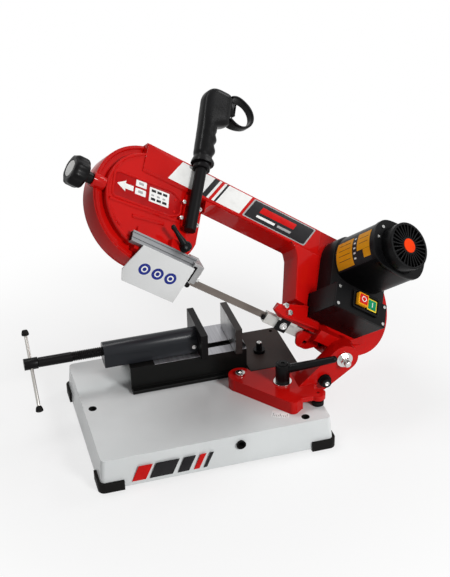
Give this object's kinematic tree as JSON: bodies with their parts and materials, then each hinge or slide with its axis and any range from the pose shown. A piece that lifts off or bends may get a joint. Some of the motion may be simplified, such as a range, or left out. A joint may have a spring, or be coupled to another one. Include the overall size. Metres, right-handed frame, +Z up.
{
  "type": "band saw",
  "caption": "Bench band saw for metal: tray base, screw vise, mitring support and a motor-driven bow that swings down to cut.",
  "frame": {"origin": "under the middle of the part's own box, on the floor plane", "axes": "+X along the base's long side to the pivot end, +Y from the front to the back of the base, +Z up"},
  "size_m": [0.705, 0.3708, 0.544],
  "materials": {
    "red_paint": "gloss red enamel on a casting",
    "pale_paint": "smooth pale grey powder coat",
    "black_paint": "satin black paint",
    "brown_black": "dark phosphated plate",
    "black_plastic": "grained black moulding",
    "rubber": "matt black rubber",
    "steel": "machined steel",
    "bright": "bright plated",
    "alloy": "extruded bar, brushed along its length",
    "grey_block": "light grey anodised",
    "iron": "machined cast iron",
    "brass": "machined bronze",
    "copper_pack": "wound stator pack",
    "orange_cap": "gloss orange",
    "red_button": "gloss red",
    "green_button": "gloss green"
  },
  "bodies": {
    "base": {"base_tray": "pale_paint", "corner_feet": "rubber", "vise_bed": "black_paint", "bed_bolts": "steel", "fixed_jaw": "iron", "jaw_gusset": "black_paint", "vise_nut": "brass", "swivel_plate": "brown_black", "plate_stop": "black_paint", "miter_bolt": "bright"},
    "jaw": {"moving_jaw": "black_paint", "jaw_cover": "black_paint", "cover_screws": "bright"},
    "screw": {"lead_screw": "black_paint"},
    "tommy": {"tommy_bar": "steel", "bar_caps": "black_plastic"},
    "swivel": {"swivel_support": "red_paint", "arm_shaft": "steel", "shaft_washer": "bright", "shaft_nut": "bright", "stop_bolt": "black_paint", "support_bumper": "rubber", "clamp_stud": "bright"},
    "clamp": {"clamp_lever": "black_plastic"},
    "arm": {"arm_frame": "red_paint", "rear_cover": "red_paint", "cover_knobs": "black_plastic", "saw_band": "steel", "guide_bracket": "red_paint", "right_guide": "grey_block", "arm_screws": "bright", "drive_bearing": "steel", "gear_case": "black_paint", "motor_barrel": "black_paint", "motor_stator": "copper_pack", "motor_endcap": "black_plastic", "fan_cover": "black_plastic", "fan_cap": "orange_cap", "switch_box": "black_plastic", "switch_panel": "black_plastic", "cable_gland": "black_plastic", "handle_tube": "black_paint", "grip_front": "black_plastic", "grip_back": "black_plastic"},
    "idler_mount": {"idler_carriage": "iron", "idler_axle": "steel"},
    "idler": {"idler_wheel": "iron"},
    "tension": {"tension_knob": "black_plastic"},
    "drive": {"drive_wheel": "iron", "drive_shaft": "steel", "drive_gear": "brass"},
    "rotor": {"motor_rotor": "steel", "cooling_fan": "black_plastic"},
    "trigger_body": {"trigger": "black_plastic"},
    "stop_body": {"stop_button": "red_button"},
    "start_body": {"start_button": "green_button"},
    "guide": {"guide_bar": "alloy", "blade_guard": "pale_paint", "left_guide": "black_paint"},
    "guide_clamp": {"guide_lever": "black_plastic"}
  },
  "joints": [
    {"name": "miter_turn", "type": "hinge", "parent": "base", "child": "swivel", "pos_m": [0.01545, -0.0389, 0.06], "axis": [0, 0, 1], "range_deg": [0, 45]},
    {"name": "arm_swing", "type": "hinge", "parent": "swivel", "child": "arm", "pos_m": [0.18465, -0.0869, 0.1244], "axis": [0, 1, 0], "range_deg": [-36.5, 0], "stiffness_Nm_per_rad": 30, "springref_deg": 57.3},
    {"name": "jaw_travel", "type": "slide", "parent": "base", "child": "jaw", "axis": [1, 0, 0], "range_m": [-0.054, 0.0505]},
    {"name": "screw_turn", "type": "hinge", "parent": "jaw", "child": "screw", "pos_m": [-0.06455, 0.0311, 0.1355], "axis": [1, 0, 0], "range_deg": [-4865, 4550]},
    {"name": "bar_slip", "type": "slide", "parent": "screw", "child": "tommy", "axis": [0, 0.766, 0.6428], "range_m": [-0.032, 0.066]},
    {"name": "clamp_turn", "type": "hinge", "parent": "swivel", "child": "clamp", "pos_m": [0.07945, -0.0839, 0.1], "axis": [0, 0, 1], "range_deg": [-60, 0]},
    {"name": "guide_slip", "type": "slide", "parent": "arm", "child": "guide", "axis": [0.8192, 0, -0.5736], "range_m": [0, 0.055]},
    {"name": "guide_lever_turn", "type": "hinge", "parent": "arm", "child": "guide_clamp", "pos_m": [-0.08025, -0.06272, 0.3685], "axis": [0.4262, -0.6691, 0.6087], "range_deg": [0, 40]},
    {"name": "knob_turn", "type": "hinge", "parent": "arm", "child": "tension", "pos_m": [-0.22064, -0.00095, 0.48705], "axis": [0.8192, 0, -0.5736], "range_deg": [-965, 0]},
    {"name": "idler_shift", "type": "slide", "parent": "arm", "child": "idler_mount", "axis": [0.8192, 0, -0.5736], "range_m": [0, 0.004]},
    {"name": "idler_spin", "type": "hinge", "parent": "idler_mount", "child": "idler", "pos_m": [-0.12849, 0.01421, 0.41292], "axis": [0.4262, -0.6691, 0.6087], "continuous": true},
    {"name": "drive_spin", "type": "hinge", "parent": "arm", "child": "drive", "pos_m": [0.2221, 0.01421, 0.16743], "axis": [0.4262, -0.6691, 0.6087], "continuous": true},
    {"name": "rotor_spin", "type": "hinge", "parent": "arm", "child": "rotor", "pos_m": [0.25392, 0.00676, 0.23553], "axis": [0.4262, -0.6691, 0.6087], "continuous": true},
    {"name": "trigger_press", "type": "slide", "parent": "arm", "child": "trigger_body", "axis": [0.8381, 0.0389, -0.5441], "range_m": [-0.004, 0], "stiffness_N_per_m": 800, "springref_m": 0.003},
    {"name": "stop_press", "type": "slide", "parent": "arm", "child": "stop_body", "axis": [0.4262, -0.6691, 0.6087], "range_m": [-0.003, 0], "stiffness_N_per_m": 900, "springref_m": 0.003},
    {"name": "start_press", "type": "slide", "parent": "arm", "child": "start_body", "axis": [0.4262, -0.6691, 0.6087], "range_m": [-0.003, 0], "stiffness_N_per_m": 900, "springref_m": 0.003}
  ],
  "couplings": [
    {"joint": "screw_turn", "follows": "jaw_travel", "rad_per_m": 1570.8},
    {"joint": "knob_turn", "follows": "idler_shift", "rad_per_m": -4188.8},
    {"joint": "idler_spin", "follows": "drive_spin", "ratio": 1},
    {"joint": "rotor_spin", "follows": "drive_spin", "ratio": -5}
  ]
}
